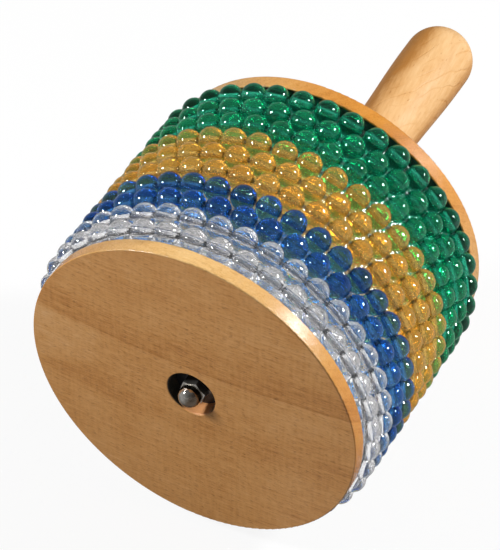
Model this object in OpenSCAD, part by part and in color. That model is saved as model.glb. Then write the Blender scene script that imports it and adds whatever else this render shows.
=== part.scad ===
// Cabasa: a drum with a nest of bead rows that turns round it, on a handle.
// The axis lies along Y, from the front disc to the handle's end. Z is up,
// and the bead rows rest on Z = 0.

/* [Discs] */
// Diameter of both wooden discs
disc_d = 115; // [90:1:150]
// Thickness of a disc
disc_t = 5.5; // [4:0.5:8]
// Rounding of a disc's edges
disc_edge = 0.4; // [0.3:0.1:1.8]
// Diameter of the hole in the front disc that the cap nut stands in
nut_well_d = 16.8; // [12:0.2:18]
// Width of the slant round the mouth of that hole
well_slant = 0.4; // [0.2:0.1:0.8]

/* [Beads] */
// Diameter of a bead
bead_d = 8.4; // [6:0.2:10]
// Diameter of the hole through a bead
bead_hole_d = 1.8; // [1.6:0.1:2.4]
// Free cord between two beads of a row
bead_gap = 0.45; // [0.3:0.05:1.5]
// How far a bead has slid along its cord from its even place, at most
bead_slide = 0.15; // [0:0.05:0.15]
// Space between the beads of two rows side by side
row_gap = 0.65; // [0.6:0.05:2]
// How far the beads stand out beyond the discs
bead_proud = 3.5; // [1:0.1:5]
// Diameter of the cord through a row
cord_d = 1.1; // [0.8:0.1:1.2]
// Play of the bead rows round the drum
net_play = 0.4; // [0.3:0.1:1]
// Play of the bead rows between the discs, at each end
end_play = 0.3; // [0.3:0.1:1]

/* [Drum] */
// Wall of the ribbed steel sleeve, ribs included
sleeve_wall = 1.2; // [1:0.1:3]
// Depth of the grooves between the ribs
rib_depth = 0.5; // [0.3:0.1:0.7]
// Distance from one rib to the next, round the sleeve
rib_pitch = 3.1; // [2.8:0.1:8]

/* [Tie rod] */
// Diameter of the tie rod
rod_d = 5; // [4:0.5:6]
// How far the tie rod reaches into the handle
rod_reach = 40; // [30:1:60]
// Width of the cap nut across its flats
nut_flats = 8; // [7:0.5:10]
// Height of the cap nut
nut_h = 10; // [8:0.5:12]
// Height of the cap nut's six-sided foot
nut_foot_h = 5; // [3:0.5:6]
// How far the cap nut is turned from flats upright, in degrees
nut_turn = 13; // [0:1:30]
// Diameter of the cap nut's dome
nut_dome_d = 7.5; // [6.5:0.1:9]
// Diameter of the washer under the cap nut
washer_d = 20; // [18:1:24]
// Thickness of that washer
washer_t = 1.2; // [0.8:0.1:2]

/* [Handle] */
// Length of the handle
handle_len = 103.2; // [80:0.2:140]
// Diameter of the handle's thickest stretch
grip_d = 24.8; // [22:0.2:32]
// Diameter of the handle's neck
neck_d = 22.3; // [19:0.1:24]
// Diameter of the handle's foot on the rear disc
foot_d = 23.2; // [20:0.1:26]
// Outer diameter of the threaded insert in the handle
insert_d = 8; // [7.5:0.5:10]
// Length of that insert
insert_len = 13; // [8:1:20]

/* [Hidden] */
$fn = 96;

// Running and fitting clearances
cut_over = 1;
fit_play = 0.05;
hole_play = 0.25;
end_slant = 0.6;

// Radii of the drum, from the discs inwards
disc_r = disc_d / 2;
bead_r = bead_d / 2;
net_r = disc_r + bead_proud - bead_r;
sleeve_r = net_r - bead_r - net_play;
core_r = sleeve_r - sleeve_wall - fit_play;
axis_z = max(disc_r, net_r + bead_r);

// Bead rows: a hexagonal net, each row half a bead on from its neighbour
n_rows = 10;
bead_step = 360 / floor(180 / asin((bead_d + bead_gap) / (2 * net_r)));
half_gap = net_r * sin(bead_step / 2);
row_pitch = sqrt(pow(bead_d + row_gap, 2) - pow(half_gap, 2));
// The slack net is twisted by about half a bead over its middle rows
first_turn_share = 0.58;
slide_walk = 137.5;
slide_row_walk = 61;
net_twist_share = 0.45;
twist_from_row = 3.5;
twist_rows = 4;

// Places along the axis, from the front face
drum_len = (n_rows - 1) * row_pitch + bead_d + 2 * end_play;
front_y = 0;
core_y = disc_t;
rear_y = disc_t + drum_len;
handle_y = rear_y + disc_t;
nut_top_y = core_y - nut_h;
all_len = handle_y + handle_len - nut_top_y;
shift_y = -all_len / 2 - nut_top_y;

// Ribs of the sleeve
rib_count = floor(2 * PI * sleeve_r / rib_pitch);
rib_step = 360 / rib_count;
rib_top_share = 0.35;
rib_foot_share = 0.6;
bore_faces = 360;

// Tie rod and what it holds
rod_r = rod_d / 2;
rod_end_room = 2;
rod_hole_r = rod_r + hole_play;
nut_thread_share = 0.75;
nut_slant = 30;
rod_front_y = core_y - nut_h * nut_thread_share + end_slant;
insert_r = insert_d / 2;

// Handle profile
grip_r = grip_d / 2;
neck_r = neck_d / 2;
foot_r = foot_d / 2;
dome_y = handle_len - grip_r;
neck_y_share = 0.3;
neck_end_share = 0.42;
grip_y_share = 0.94;
profile_steps = 14;

wood = [0.80, 0.60, 0.38];
pale_wood = [0.92, 0.76, 0.54];

// Lays a shape drawn along +Z on the drum's axis, its foot at place y
module on_axis(y) {
    translate([0, shift_y + y, axis_z]) rotate([-90, 0, 0]) children();
}

// Disc of radius r and thickness t with rounded edges
module rounded_disc(r, t, edge) {
    rotate_extrude() {
        square([r - edge, t]);
        translate([0, edge]) square([r, t - 2 * edge]);
        for (h = [edge, t - edge]) translate([r - edge, h]) circle(edge);
    }
}

// Cylinder with both ends slanted off
module slanted_rod(r, h, slant) {
    rotate_extrude() polygon([
        [0, 0], [r - slant, 0], [r, slant],
        [r, h - slant], [r - slant, h], [0, h]
    ]);
}

module front_disc() {
    color(wood) on_axis(front_y) difference() {
        rounded_disc(disc_r, disc_t, disc_edge);
        translate([0, 0, -cut_over]) cylinder(d = nut_well_d, h = disc_t + 2 * cut_over);
        rotate_extrude() polygon([
            [0, 0], [nut_well_d / 2 + well_slant, 0], [nut_well_d / 2, well_slant], [0, well_slant]
        ]);
    }
}

module rear_disc() {
    color(wood) on_axis(rear_y) difference() {
        rounded_disc(disc_r, disc_t, disc_edge);
        translate([0, 0, -cut_over]) cylinder(r = rod_hole_r, h = disc_t + 2 * cut_over);
    }
}

module drum_core() {
    color([0.55, 0.42, 0.28]) on_axis(core_y) difference() {
        cylinder(r = core_r, h = drum_len);
        translate([0, 0, -cut_over]) cylinder(r = rod_hole_r, h = drum_len + 2 * cut_over);
        translate([0, 0, -cut_over]) cylinder(r = washer_d / 2 + fit_play, h = washer_t + cut_over);
    }
}

// The beads scrape on this ribbed tube
module ribbed_sleeve() {
    groove_r = sleeve_r - rib_depth;
    top = rib_step * rib_top_share / 2;
    foot = rib_step * rib_foot_share / 2;
    color([0.74, 0.75, 0.77]) on_axis(core_y) difference() {
        linear_extrude(drum_len) polygon([
            for (i = [0 : rib_count - 1])
                for (p = [[groove_r, -foot], [sleeve_r, -top], [sleeve_r, top], [groove_r, foot]])
                    p[0] * [cos(i * rib_step + p[1]), sin(i * rib_step + p[1])]
        ]);
        translate([0, 0, -cut_over])
            cylinder(r = core_r + fit_play, h = drum_len + 2 * cut_over, $fn = bore_faces);
    }
}

module clamp_washer() {
    color([0.15, 0.15, 0.16]) on_axis(core_y) difference() {
        cylinder(d = washer_d, h = washer_t);
        translate([0, 0, -cut_over]) cylinder(r = rod_hole_r, h = washer_t + 2 * cut_over);
    }
}

module tie_rod() {
    color([0.7, 0.7, 0.72]) on_axis(rod_front_y)
        slanted_rod(rod_r, handle_y + rod_reach - rod_front_y, end_slant);
}

// Six-sided foot under a dome, standing on the washer with its dome to the front
module cap_nut() {
    dome_r = nut_dome_d / 2;
    color([0.85, 0.86, 0.88]) on_axis(nut_top_y) difference() {
        union() {
            translate([0, 0, dome_r]) sphere(dome_r);
            translate([0, 0, dome_r]) cylinder(r = dome_r, h = nut_h - dome_r);
            translate([0, 0, nut_h - nut_foot_h]) rotate(-nut_turn) intersection() {
                cylinder(d = nut_flats * 2 / sqrt(3), h = nut_foot_h, $fn = 6);
                cylinder(
                    r1 = nut_flats / 2, r2 = nut_flats / 2 + nut_foot_h / tan(nut_slant),
                    h = nut_foot_h
                );
            }
        }
        translate([0, 0, nut_h * (1 - nut_thread_share)])
            cylinder(r = rod_r + fit_play, h = nut_h);
    }
}

// Neck and grip swell by half waves; the end is half a ball
module handle() {
    neck_y = handle_len * neck_y_share;
    neck_end = handle_len * neck_end_share;
    grip_y = dome_y * grip_y_share;
    color(pale_wood) on_axis(handle_y) difference() {
        union() {
            rotate_extrude() polygon(concat(
                [[0, 0]],
                [for (i = [0 : profile_steps]) let (s = i / profile_steps)
                    [neck_r + (foot_r - neck_r) * (1 + cos(180 * s)) / 2, neck_y * s]],
                [for (i = [0 : profile_steps]) let (s = i / profile_steps)
                    [grip_r + (neck_r - grip_r) * (1 + cos(180 * s)) / 2,
                        neck_end + (grip_y - neck_end) * s]],
                [[grip_r, dome_y], [0, dome_y]]
            ));
            translate([0, 0, dome_y]) sphere(grip_r);
        }
        translate([0, 0, -cut_over]) cylinder(r = rod_hole_r, h = cut_over + rod_reach + rod_end_room);
        translate([0, 0, -cut_over]) cylinder(r = insert_r + fit_play, h = insert_len + cut_over);
    }
}

module handle_insert() {
    color([0.80, 0.65, 0.30]) on_axis(handle_y) difference() {
        cylinder(r = insert_r, h = insert_len);
        translate([0, 0, -cut_over])
            cylinder(r = rod_r + fit_play, h = insert_len + 2 * cut_over);
    }
}

// Turn of a row about the axis, in beads: half a bead a row, less the net's twist
function row_turn(row) =
    first_turn_share + row / 2
    - net_twist_share * max(0, min(1, (row - twist_from_row) / twist_rows));

// Turn of bead i of a row: its even place, and how it slid along the cord
function bead_turn(row, i) =
    (i + row_turn(row)) * bead_step
    + atan(bead_slide / net_r) * sin(slide_walk * i + slide_row_walk * row);

// One row of drilled beads round the drum, row 0 next to the front disc
module bead_row(row) {
    on_axis(core_y + end_play + bead_r + row * row_pitch)
        for (i = [0 : round(360 / bead_step) - 1])
            rotate(bead_turn(row, i)) translate([net_r, 0, 0])
                difference() {
                    sphere(bead_r);
                    rotate([90, 0, 0])
                        cylinder(d = bead_hole_d, h = bead_d + cut_over, center = true);
                }
}

// The cord of a row: a closed loop of clear line through its beads
module row_cord(row) {
    color([0.86, 0.87, 0.88]) on_axis(core_y + end_play + bead_r + row * row_pitch)
        rotate_extrude() translate([net_r, 0]) circle(d = cord_d);
}

module clear_beads(row) { color([0.85, 0.86, 0.92]) bead_row(row); }
module blue_beads(row) { color([0.05, 0.20, 0.60]) bead_row(row); }
module yellow_beads(row) { color([0.85, 0.62, 0.15]) bead_row(row); }
module green_beads(row) { color([0.02, 0.42, 0.27]) bead_row(row); }

front_disc();
rear_disc();
drum_core();
ribbed_sleeve();
clamp_washer();
tie_rod();
cap_nut();
handle();
handle_insert();
clear_beads(0);  // clear_row_1
clear_beads(1);  // clear_row_2
blue_beads(2);  // blue_row_1
blue_beads(3);  // blue_row_2
yellow_beads(4);  // yellow_row_1
yellow_beads(5);  // yellow_row_2
yellow_beads(6);  // yellow_row_3
green_beads(7);  // green_row_1
green_beads(8);  // green_row_2
green_beads(9);  // green_row_3
row_cord(0);  // row_cord_1
row_cord(1);  // row_cord_2
row_cord(2);  // row_cord_3
row_cord(3);  // row_cord_4
row_cord(4);  // row_cord_5
row_cord(5);  // row_cord_6
row_cord(6);  // row_cord_7
row_cord(7);  // row_cord_8
row_cord(8);  // row_cord_9
row_cord(9);  // row_cord_10
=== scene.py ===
"""Cabasa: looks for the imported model. Lengths are metres in the CAD frame, where the drum's axis
lies along Y and Z is up. Patterns in the materials count in millimetres from the drum's axis."""
import math

import bpy
import numpy as np
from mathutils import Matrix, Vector

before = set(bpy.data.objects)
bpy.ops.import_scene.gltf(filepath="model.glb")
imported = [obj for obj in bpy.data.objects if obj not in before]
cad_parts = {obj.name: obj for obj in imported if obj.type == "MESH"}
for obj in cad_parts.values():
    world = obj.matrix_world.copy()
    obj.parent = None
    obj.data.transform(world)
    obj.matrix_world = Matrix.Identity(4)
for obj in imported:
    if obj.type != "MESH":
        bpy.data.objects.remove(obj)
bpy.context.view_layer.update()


# Camera: a long lens, held level, looks down on the drum from in front and from its right, 0.91 m
# away. It aims a little below the drum's axis.
aim = Vector((-0.01573, -0.02563, 0.04561))
eye_distance = 0.9138
eye_azimuth = math.radians(27.898)
eye_elevation = math.radians(44.820)
lens_length = 178.73
sensor_width = 36.0


def direction(azimuth, elevation):
    """Unit vector at an elevation above the floor, turned by an azimuth from -Y towards +X."""
    flat = math.cos(elevation)
    return Vector((flat * math.sin(azimuth), -flat * math.cos(azimuth), math.sin(elevation)))


camera_data = bpy.data.cameras.new("camera")
camera_data.lens = lens_length
camera_data.sensor_width = sensor_width
camera_data.clip_start = 0.01
camera_data.clip_end = 50
camera = bpy.data.objects.new("camera", camera_data)
camera.location = aim + eye_distance * direction(eye_azimuth, eye_elevation)
camera.rotation_euler = (aim - camera.location).to_track_quat("-Z", "Y").to_euler()
bpy.context.scene.collection.objects.link(camera)
bpy.context.scene.camera = camera


# Drum core: a cylinder turned from a block of plain softwood, bored for the tie rod and left raw.
# The sleeve slides over it and the two discs close its ends, so only a dismantled drum shows it.
axis_height = 0.061


class Wire:
    """A number or colour that runs through a material. Sums on wires and numbers add Math nodes."""

    def __init__(self, tree, socket):
        self.tree, self.socket = tree, socket

    def combine(self, operation, *values):
        """A Math node on the values."""
        node = self.tree.nodes.new("ShaderNodeMath")
        node.operation = operation
        for place, value in zip(node.inputs, values):
            plug(self.tree, place, value)
        return Wire(self.tree, node.outputs[0])

    def math(self, operation, *others):
        """A Math node on this wire and any others, such as its sine or the larger of two."""
        return self.combine(operation, self, *others)

    def __neg__(self):
        return self.combine("SUBTRACT", 0, self)

    def __add__(self, other):
        return self.math("ADD", other)

    def __sub__(self, other):
        return self.math("SUBTRACT", other)

    def __rsub__(self, other):
        return self.combine("SUBTRACT", other, self)

    def __mul__(self, other):
        return self.math("MULTIPLY", other)

    def __truediv__(self, other):
        return self.math("DIVIDE", other)

    def __pow__(self, other):
        return self.math("POWER", other)

    __radd__ = __add__
    __rmul__ = __mul__

    def step(self, low, high):
        """0 below low, 1 above high, and a smooth rise between them."""
        node = self.tree.nodes.new("ShaderNodeMapRange")
        node.interpolation_type = "SMOOTHSTEP"
        for name, value in (("Value", self), ("From Min", low), ("From Max", high)):
            plug(self.tree, node.inputs[name], value)
        return Wire(self.tree, node.outputs[0])


def plug(tree, place, value):
    """Links a wire to a socket, or sets the socket to a number, a vector or a colour."""
    if isinstance(value, Wire):
        tree.links.new(value.socket, place)
    elif hasattr(value, "__len__") and len(value) == 3 and len(place.default_value) == 4:
        place.default_value = (*value, 1)
    else:
        place.default_value = value


class Finish:
    """A material, or the light of a world. node() adds any node: its type, its settings, which are
    set first, and its sockets."""

    def __init__(self, name, world=None):
        self.owner = world or bpy.data.materials.new(name)
        self.owner.use_nodes = True
        self.tree = self.owner.node_tree
        self.tree.nodes.clear()
        self.out = self.tree.nodes.new("ShaderNodeOutput" + ("World" if world else "Material"))

    def node(self, kind, settings=(), sockets=(), output=0):
        node = self.tree.nodes.new("ShaderNode" + kind)
        for name, value in dict(settings).items():
            if name == "stops":
                ramp = node.color_ramp.elements
                while len(ramp) < len(value):
                    ramp.new(1)
                for element, (place, colour) in zip(ramp, value):
                    element.position, element.color = place, (*colour, 1)
            else:
                setattr(node, name, value)
        for name, value in dict(sockets).items():
            plug(self.tree, node.inputs[name], value)
        return Wire(self.tree, node.outputs[output])

    def place(self):
        """Millimetres from the drum's axis to the right, along it and upwards."""
        spot = self.node("TexCoord", output="Object")
        spot = self.node("VectorMath", {"operation": "SUBTRACT"}, {0: spot, 1: (0, 0, axis_height)})
        spot = self.node("VectorMath", {"operation": "SCALE"}, {0: spot, "Scale": 1000})
        parts = self.tree.nodes.new("ShaderNodeSeparateXYZ")
        plug(self.tree, parts.inputs[0], spot)
        return [Wire(self.tree, part) for part in parts.outputs]

    def noise(self, spot, scales, detail=3.0, roughness=0.5):
        """Noise from 0 to 1 over three wires. Scales count its features in one unit of each."""
        scaled = [wire * scale for wire, scale in zip(spot, scales)]
        spot = self.node("CombineXYZ", {}, dict(enumerate(scaled)))
        sockets = {"Vector": spot, "Scale": 1.0, "Detail": detail, "Roughness": roughness}
        return self.node("TexNoise", {}, sockets)

    def ramp(self, share, *stops):
        """Runs through colours, each given with the share that it stands at."""
        return self.node("ValToRGB", {"stops": stops}, {0: share})

    def mix(self, share, first, second):
        """The first colour where share is 0, the second where it is 1."""
        return self.node("Mix", {"data_type": "RGBA"}, {0: share, 6: first, 7: second}, output=2)

    def bump(self, height, distance):
        """Raises the surface by height times distance, in metres."""
        return self.node("Bump", {}, {"Height": height, "Distance": distance})

    def principled(self, **sockets):
        """Principled shader. A socket's spaces are written as low lines."""
        sockets = {name.replace("_", " "): value for name, value in sockets.items()}
        return self.node("BsdfPrincipled", {}, sockets)

    def end(self, shader):
        """Ends the material or the world in a shader."""
        plug(self.tree, self.out.inputs["Surface"], shader)

    def surface(self, **sockets):
        """Ends the material in a Principled shader."""
        self.end(self.principled(**sockets))

    def dress(self, *names):
        """Gives the material to CAD nodes."""
        for name in names:
            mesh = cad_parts[name].data
            mesh.materials.clear()
            mesh.materials.append(self.owner)


def radius(across, up):
    """Distance from the axis: the root of the sum of both squares."""
    return (across * across + up * up) ** 0.5


def growth_rings(finish, spot, pith, spacing):
    """Tone of turned wood, 0 in late wood to 1 in early wood. Rings lie round a pith line beside
    the piece, wander with slow noise, and differ in strength by a noise that reads only the ring."""
    across, _, up = spot
    wander = finish.noise(spot, (0.05, 0.012, 0.05), 2.0)
    ring = (radius(across - pith[0], up - pith[1]) + wander * 5) / spacing
    strength = finish.noise((ring, 0.0, 0.0), (1, 0, 0), 4.0, 0.6)
    fibre = finish.noise(spot, (2.4, 0.06, 2.4), 3.0, 0.6)
    return strength * 0.7 + fibre * 0.3


core = Finish("core_wood")
tone = growth_rings(core, core.place(), pith=(9, -14), spacing=2.2)
core.surface(
    Base_Color=core.ramp(
        tone, (0.30, (0.30, 0.16, 0.07)), (0.50, (0.52, 0.34, 0.17)), (0.70, (0.64, 0.46, 0.26))
    ),
    Roughness=0.75 - tone * 0.25,
    Normal=core.bump(tone, 0.00015),
)
core.dress("drum_core")


# Ribbed sleeve: bright steel strip with pressed ribs, rolled into a tube and slid over the core.
# The beads scrape on it. It has small dents, dull specks, and scratches that run round the drum.
def turn(across, up):
    """Angle about the axis, counted from the right upwards."""
    return up.math("ARCTAN2", across)


sleeve = Finish("sleeve_steel")
spot = sleeve.place()
across, along, up = spot
scratch = sleeve.noise((turn(across, up), along, radius(across, up)), (9, 6, 1), 4.0, 0.65)
dents = sleeve.noise(spot, (1.4, 1.4, 1.4), 3.0, 0.6)
stain = sleeve.noise(spot, (0.12, 0.2, 0.12))
speck = sleeve.noise(spot, (2.2, 2.2, 2.2), 2.0, 0.6).step(0.47, 0.56) * 0.15
bright = sleeve.ramp(stain, (0.35, (0.84,) * 3), (0.55, (0.94,) * 3), (0.75, (0.98,) * 3))
sleeve.surface(
    Base_Color=sleeve.mix(speck, bright, (0.10, 0.10, 0.10)),
    Metallic=1.0,
    Roughness=0.04 + scratch * 0.08 + speck * 0.15,
    Normal=sleeve.bump(dents + scratch * 0.25, 0.00035),
)
sleeve.dress("ribbed_sleeve")


# Washer: a plain steel washer, blackened in hot oil, let into the end of the core. The cap nut
# has rubbed a bright ring into it, and a little of its edge shows through the front disc's hole.
washer = Finish("black_steel")
spot = washer.place()
across, along, up = spot
grime = washer.noise(spot, (0.7, 0.7, 0.7), 4.0, 0.6)
rubbed_and_lit_spot = (1 - radius(across, up).step(4.2, 5.2)) * grime.step(0.4, 0.6)
washer.surface(
    Base_Color=washer.mix(rubbed_and_lit_spot, (0.022, 0.022, 0.024), (0.25, 0.25, 0.26)),
    Metallic=rubbed_and_lit_spot * 0.7 + 0.3,
    Roughness=0.30 + grime * 0.25,
    Normal=washer.bump(grime, 0.00008),
)
washer.dress("clamp_washer")


# Tie rod: a zinc plated steel rod that pulls cap nut, core, discs and handle together. Its thread
# is that of an M5 screw, and the zinc has gone blotchy with faint yellow and blue.
thread_pitch = 0.8
rod = Finish("zinc_steel")
spot = rod.place()
across, along, up = spot
thread = (along * (math.tau / thread_pitch) + turn(across, up)).math("SINE")
blotch = rod.noise(spot, (0.6, 0.25, 0.6), 3.0, 0.6)
rod.surface(
    Base_Color=rod.ramp(
        blotch, (0.35, (0.50, 0.50, 0.55)), (0.50, (0.63, 0.63, 0.64)), (0.65, (0.68, 0.65, 0.55))
    ),
    Metallic=1.0,
    Roughness=0.28 + blotch * 0.20,
    Normal=rod.bump(thread, 0.0002),
)
rod.dress("tie_rod")


# Cap nut: a domed steel nut, chrome plated, that stands in the front disc's hole and clamps the
# drum. The dome is polished, and its lower right is coloured brown as a painted reflection of the
# wood around it; in the hole it is duller, with marks of a spanner.
front_face = -94.795
nut = Finish("nut_chrome")
spot = nut.place()
across, along, up = spot
foot = along.step(front_face + 0.195, front_face + 0.695)
marks = nut.noise(spot, (1.5, 0.8, 1.5), 4.0, 0.7)
waves = nut.noise(spot, (0.45, 0.30, 0.45), 2.0)
# Painted reflection: the dome's lower right is coloured brown, as if it mirrored the wood, with a
# ragged edge from the marks.
low_right = across * 0.86 - up * 0.50
painted_reflection = (low_right + marks * 2.4 - 1.2).step(-1.6, 0.8) * (1 - foot)
nut.surface(
    Base_Color=nut.mix(painted_reflection, (0.66, 0.63, 0.58), (0.22, 0.165, 0.12)),
    Metallic=1.0,
    Roughness=0.13 + foot * (marks * 0.35 + 0.03),
    Normal=nut.bump(marks * 0.1 + waves, 0.0004),
)
nut.dress("cap_nut")


# Discs: two round boards of plain-sawn hardwood with rounded edges, stained orange brown and
# lacquered. The grain runs across, so the rim shows end grain at two sides. The faces towards the
# beads and the wall of the front hole are coloured nearly black as painted shade, and a spot low
# on that wall is coloured bright orange as a painted pool of the light that falls into the hole.
disc_radius = 57.5
disc_thickness = 5.5
rear_inner_face = -9.405
hole_radius = 8.4


def disc_finish(name, node, front, inner_face, grain_turn, growth):
    """Wood of one board. The growth field is the height across the grain, less a slow bow along
    it, plus a lean through the board; growth gives a tone at each millimetre mark of that field."""
    board = Finish(name)
    across, along, up = board.place()
    sine, cosine = math.sin(grain_turn), math.cos(grain_turn)
    grain, over = across * cosine + up * sine, up * cosine - across * sine
    depth = along - front
    spot = grain, depth, over
    bow, lean = 0.0013, 0.8
    wander = board.noise(spot, (0.02, 0.05, 0.04), 2.0)
    field = over - grain * grain * bow + depth * lean + (wander - 0.5) * 3
    stops = [((mark + disc_radius) / (2 * disc_radius), (tone,) * 3) for mark, tone in growth]
    rings = board.ramp((field + disc_radius) / (2 * disc_radius), *stops)
    lines = board.noise((grain, 0.0, field), (0.004, 0, 0.9), 4.0, 0.6)
    fibre = board.noise(spot, (0.12, 2.2, 3.2), 4.0, 0.65)
    figure = board.noise(spot, (0.9, 0.3, 0.12), 3.0, 0.6)
    pores = board.noise(spot, (0.45, 4.5, 5.5), 2.0).step(0.58, 0.72)
    cloud = board.noise(spot, (0.05, 0.1, 0.07), 3.0, 0.55)
    streak = (-grain).step(30, 36) * (over - grain * 0.41).step(11, 14) * (1 - field.step(9, 11))
    tone = rings * 0.5 + lines * 0.50 + fibre * 0.95 + figure * 0.35 + cloud * 0.40
    tone = tone - pores * 0.36 + streak * 0.10 - 0.857
    wood = board.ramp(
        tone, (0.0, (0.30, 0.105, 0.018)), (0.30, (0.57, 0.24, 0.060)),
        (0.50, (0.71, 0.335, 0.100)), (0.72, (0.80, 0.42, 0.155)), (1.0, (0.88, 0.54, 0.26))
    )
    long_grain = board.ramp(
        tone, (0.15, (0.58, 0.30, 0.085)), (0.50, (0.77, 0.47, 0.18)), (0.9, (0.84, 0.58, 0.28))
    )
    end_grain = board.ramp(
        tone, (0.15, (0.44, 0.148, 0.015)), (0.50, (0.64, 0.250, 0.034)), (0.9, (0.71, 0.345, 0.071))
    )
    end_share = (grain / disc_radius).math("ABSOLUTE") ** 1.5
    away = radius(across, up)
    rim = away.step(disc_radius - 0.5, disc_radius - 0.2)
    # Painted shade: the face towards the beads is coloured nearly black.
    inner = (1 - (along - inner_face).math("ABSOLUTE").step(0.1, 0.3)) * (1 - rim)
    # Painted shade: the wall of the hole is coloured nearly black.
    wall = (1 - away.step(hole_radius + 1.1, hole_radius + 1.6)) * depth.step(0.1, 0.3)
    # Painted light: a bright orange spot low on the wall, where the lamp shines into the hole.
    rubbed_and_lit_spot = (-up).step(4.5, 6.5) * (across + 4).step(0.0, 2.0)
    colour = board.mix(inner, wood, (0.03, 0.02, 0.012))
    colour = board.mix(rim, colour, board.mix(end_share, long_grain, end_grain))
    colour = board.mix(wall, colour, board.mix(rubbed_and_lit_spot, (0.028, 0.026, 0.020), (0.86, 0.40, 0.16)))
    grit = board.noise(spot, (2.3, 2.3, 2.3), 3.0, 0.7)
    board.surface(
        Base_Color=colour,
        Roughness=0.42 - tone * 0.12 - rim * 0.20,
        Normal=board.bump(fibre * 0.5 + lines * 0.3 - pores * 0.6 + rim * grit * 0.5, 0.00012),
        Specular_IOR_Level=0.4,
        Coat_Weight=rim * grit.step(0.48, 0.56) * 0.9,
        Coat_Roughness=0.2,
    )
    board.dress(node)


disc_finish(
    "disc_wood", "front_disc", front_face, front_face + disc_thickness, 0.0,
    [(-57, 0.60), (-30, 0.62), (-20, 0.60), (-17.2, 0.52), (-16.3, 0.34), (-15.5, 0.50),
     (-13.6, 0.44), (-12.7, 0.26), (-12.0, 0.44), (-8, 0.50), (-2, 0.60), (9, 0.64), (11.2, 0.58),
     (11.8, 0.04), (12.6, 0.40), (15.5, 0.36), (18, 0.44), (18.6, 0.34), (19.4, 0.46), (24, 0.60),
     (57, 0.64)],
)
disc_finish(
    "disc_wood_rear", "rear_disc", rear_inner_face, rear_inner_face, math.radians(62),
    [(-57, 0.60), (-33, 0.50), (-31, 0.30), (-29, 0.52), (-14, 0.60), (-5, 0.42), (-4, 0.22),
     (-3, 0.48), (8, 0.62), (22, 0.52), (23, 0.34), (25, 0.56), (57, 0.62)],
)


# Handle: a dowel of pale, close-grained wood, turned to a slim neck, a fuller grip and a round end,
# then lacquered. Thin growth lines run slantwise over it and small dark flecks follow the grain. A
# pale band down it is a painted highlight, and its two flanks are darkened as painted shade.
handle = Finish("handle_wood")
spot = handle.place()
across, along, up = spot
tone = growth_rings(handle, (across + along * 0.12, along, up), pith=(34, -22), spacing=4.5)
cloud = handle.noise(spot, (0.10, 0.035, 0.10), 3.0, 0.6)
vein = handle.noise((across * 0.9 + along * 0.12, along, up), (1, 0.14, 0.9), 4.0, 0.65)
wave = handle.noise(spot, (0.07, 0.035, 0.07), 2.0)
fleck = handle.noise(spot, (1.9, 0.45, 1.9), 2.0).step(0.66, 0.76)
side = across * 0.905 - up * 0.426
growth = (side - along * 0.35) * 0.26 + wave * 3.0
drawn = handle.noise((across + 70, along, up), (0.10, 0.05, 0.10), 2.0).step(0.42, 0.66)
contour = (1 - growth.math("PINGPONG", 0.5).step(0.0, 0.11)) * drawn
band = side + 3.5 - (along - 72) * 0.35
# Painted highlight: a pale band that runs slantwise down the handle.
painted_highlight_band = 1 - band.math("ABSOLUTE").step(0.5, 4.0)
# Painted shade: both flanks of the handle are darkened, the left one more.
painted_flank_shade = (-side).step(3.0, 14.0) + side.step(7.0, 14.0) * 0.7
shade = tone * 0.35 + cloud * 0.40 + vein * 0.40 + painted_highlight_band * 0.06
shade = shade - fleck * 0.20 - contour * 0.10 - painted_flank_shade * 0.60 - 0.07
handle.surface(
    Base_Color=handle.ramp(
        shade, (0.16, (0.43, 0.185, 0.040)), (0.42, (0.65, 0.365, 0.145)),
        (0.58, (0.73, 0.455, 0.215)), (0.80, (0.80, 0.555, 0.31))
    ),
    Roughness=0.48 - cloud * 0.14,
    Normal=handle.bump(tone * 0.3 + vein * 0.5 - fleck * 0.5 - contour * 0.5, 0.00015),
    Specular_IOR_Level=0.2,
)
handle.dress("handle")


# Handle insert: a brass sleeve with a cross-cut knurl, screwed into the handle's foot and glued.
# The tie rod runs in its thread.
knurl_teeth = 24
insert = Finish("insert_brass")
spot = insert.place()
across, along, up = spot
knurl = (turn(across, up) * knurl_teeth).math("SINE") * (along * 7).math("SINE")
tarnish = insert.noise(spot, (0.5, 0.5, 0.5))
insert.surface(
    Base_Color=insert.mix(tarnish.step(0.35, 0.7), (0.80, 0.60, 0.24), (0.52, 0.35, 0.13)),
    Metallic=1.0,
    Roughness=0.25 + tarnish * 0.2,
    Normal=insert.bump(knurl, 0.0002),
)
insert.dress("handle_insert")


# Bead rows: round beads of coloured or clear plastic, moulded and drilled. Their outside is
# polished, and the bore is left rough, with scratches along it. Yellow and green plastic is a
# little cloudy, and no two beads have quite the same tint.
net_radius = 56.8
bore_radius = 0.9
bead_turn = math.radians(9)
row_pitch = 7.8767
first_row = -84.795
stagger = 0.5
net_twist = 0.45
twist_from_row = 3.5
twist_rows = 4
first_turn = 0.58


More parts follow.
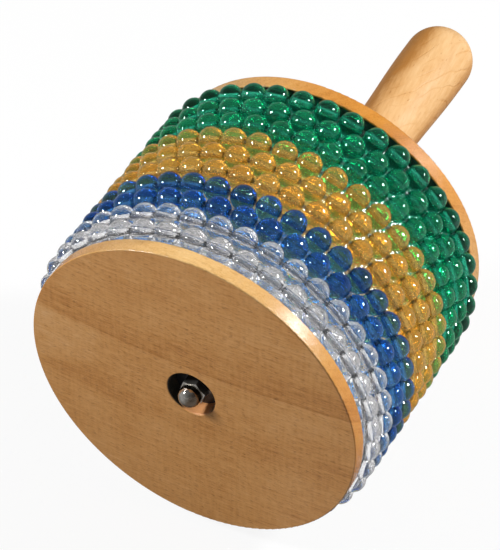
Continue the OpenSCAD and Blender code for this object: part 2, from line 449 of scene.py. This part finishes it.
def bead_finish(colour, tint, deep, frost, clearness, fade):
    """Plastic of one colour. A bead's own number, from its row and its turn about the axis, picks
    its tint between tint and deep. The bore is where the row's circle is less than its radius
    away; frost roughens it, and fade lets part of the light pass straight through its wall."""
    glass = Finish(colour + "_bead")
    spot = glass.place()
    across, along, up = spot
    angle = turn(across, up)
    row = ((along - first_row) / row_pitch).math("ROUND")
    away = radius(across, up) - net_radius
    slip = along - row * row_pitch - first_row
    bore = 1 - radius(away, slip).step(bore_radius + 0.1, bore_radius + 0.25)
    twist = ((row - twist_from_row) / twist_rows).math("MAXIMUM", 0).math("MINIMUM", 1) * net_twist
    number = (-angle / bead_turn - (row * stagger - twist + first_turn)).math("ROUND")
    bead = glass.node("CombineXYZ", {}, {0: row, 1: number})
    luck = glass.node("TexWhiteNoise", {"noise_dimensions": "2D"}, {"Vector": bead})
    streaks = glass.noise((angle, away, slip), (60, 1.6, 1.6), 3.0, 0.6)
    swirl = glass.noise(spot, (2.6, 2.6, 2.6), 2.0, 0.6)
    body = glass.principled(
        Base_Color=glass.mix(luck, tint, deep),
        Roughness=bore * (0.02 * frost),
        IOR=1.5,
        Transmission_Weight=clearness,
        Normal=glass.bump(bore * (streaks * 2.0 + swirl * 0.6), 0.0004 * frost),
    )
    if fade:
        passing = glass.node("BsdfTransparent")
        body = glass.node("MixShader", {}, {0: bore * fade, 1: body, 2: passing})
    glass.end(body)
    glass.dress(*[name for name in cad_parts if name.startswith(colour)])


bead_finish("clear", (0.995, 0.985, 0.98), (0.975, 0.97, 0.97), frost=0.3, clearness=1.0, fade=0.15)
bead_finish("blue", (0.11, 0.37, 0.72), (0.06, 0.24, 0.58), frost=1.0, clearness=1.0, fade=0)
bead_finish("yellow", (0.998, 0.715, 0.22), (0.992, 0.665, 0.175), frost=1.0, clearness=0.92, fade=0.1)
bead_finish("green", (0.043, 0.61, 0.39), (0.024, 0.51, 0.31), frost=1.2, clearness=0.98, fade=0)


# Row lines: a length of clear nylon line runs through each row's beads and closes to a ring.
# Its tint is a dark grey as painted shade, so that it reads dark between the beads; the lighter
# marks are scuffs where the beads slide on it.
line = Finish("cord_nylon")
across, along, up = line.place()
scuff = line.noise((turn(across, up), along, radius(across, up)), (80, 1, 1), 3.0, 0.6)
line.surface(
    # Painted shade: the clear line is tinted dark grey.
    Base_Color=line.mix(scuff, (0.32, 0.33, 0.35), (0.52, 0.53, 0.54)),
    Roughness=0.10 + scuff * 0.25,
    IOR=1.53,
    Transmission_Weight=1.0,
    Normal=line.bump(scuff, 0.00005),
)
line.dress(*[f"row_cord_{row}" for row in range(1, 11)])


# Studio: two round lamps at like heights, in front on the left and behind on the right, under a
# dim ceiling, and a sheet of white paper under the part. Camera and clear plastic see white all
# round, and polished faces see grey that darkens overhead.
lamp_target = Vector((0, -0.07, 0.07))
lamp_spread = 0.20


def lamp(name, toward, away, power):
    """Round lamp in a direction from the drum, facing it. Its width and its power follow from how
    far away it stands, so that the drum sees the same lamp at any distance."""
    data = bpy.data.lights.new(name, "AREA")
    data.shape = "DISK"
    data.size = away * lamp_spread
    data.energy = power * away * away
    thing = bpy.data.objects.new(name, data)
    thing.location = lamp_target + away * Vector(toward).normalized()
    thing.rotation_euler = (lamp_target - thing.location).to_track_quat("-Z", "Y").to_euler()
    bpy.context.scene.collection.objects.link(thing)


lamp("left_lamp", (-0.72, -0.40, 0.567), 0.9, 8.9)
lamp("right_lamp", (0.676, 0.468, 0.569), 1.0, 11.8)


def rays(finish, *kinds):
    """For each kind of ray, 1 where such a ray meets the finish and 0 elsewhere."""
    return [finish.node("LightPath", output=f"Is {kind} Ray") for kind in kinds]


floor_reach = 4.0
floor_mesh = bpy.data.meshes.new("floor")
corners = np.array([(-1, -1, 0), (1, -1, 0), (1, 1, 0), (-1, 1, 0)]) * floor_reach
floor_mesh.from_pydata(corners.tolist(), [], [(0, 1, 2, 3)])
floor = bpy.data.objects.new("floor", floor_mesh)
bpy.context.scene.collection.objects.link(floor)
paper = Finish("floor_paper")
seen, glossy, through, bounce = rays(paper, "Camera", "Glossy", "Transmission", "Diffuse")
mirrored = glossy * (1 - through)
shown = seen.math("MAXIMUM", glossy.math("MAXIMUM", through)) * 0.9 * (1 - mirrored)
tone = paper.mix(bounce + mirrored, (0.8, 0.8, 0.8), (0.3, 0.3, 0.3))
matt = paper.node("BsdfDiffuse", {}, {"Color": tone})
glow = paper.node("Emission", {}, {"Color": (1, 1, 1), "Strength": 1.0})
paper.end(paper.node("MixShader", {}, {0: shown, 1: matt, 2: glow}))
floor.data.materials.append(paper.owner)

world = bpy.data.worlds.new("studio")
bpy.context.scene.world = world
studio = Finish("studio", world)
ray = studio.node("TexCoord", output="Generated")
height = studio.node("SeparateXYZ", {}, {0: ray}, output="Z")
seen, glossy, through = rays(studio, "Camera", "Glossy", "Transmission")
ceiling = 0.10 + height.step(-0.1, 1.0) * 0.05
mirrored = 0.50 - height.step(0.1, 0.5) * 0.33
value = through + (1 - through) * (glossy * mirrored + (1 - glossy) * ceiling)
value = seen + (1 - seen) * value
studio.end(studio.node("Background", {}, {"Strength": value}))

light_bounces = 24
scene = bpy.context.scene
scene.view_settings.view_transform = "Standard"
scene.cycles.max_bounces = light_bounces
scene.cycles.transmission_bounces = light_bounces
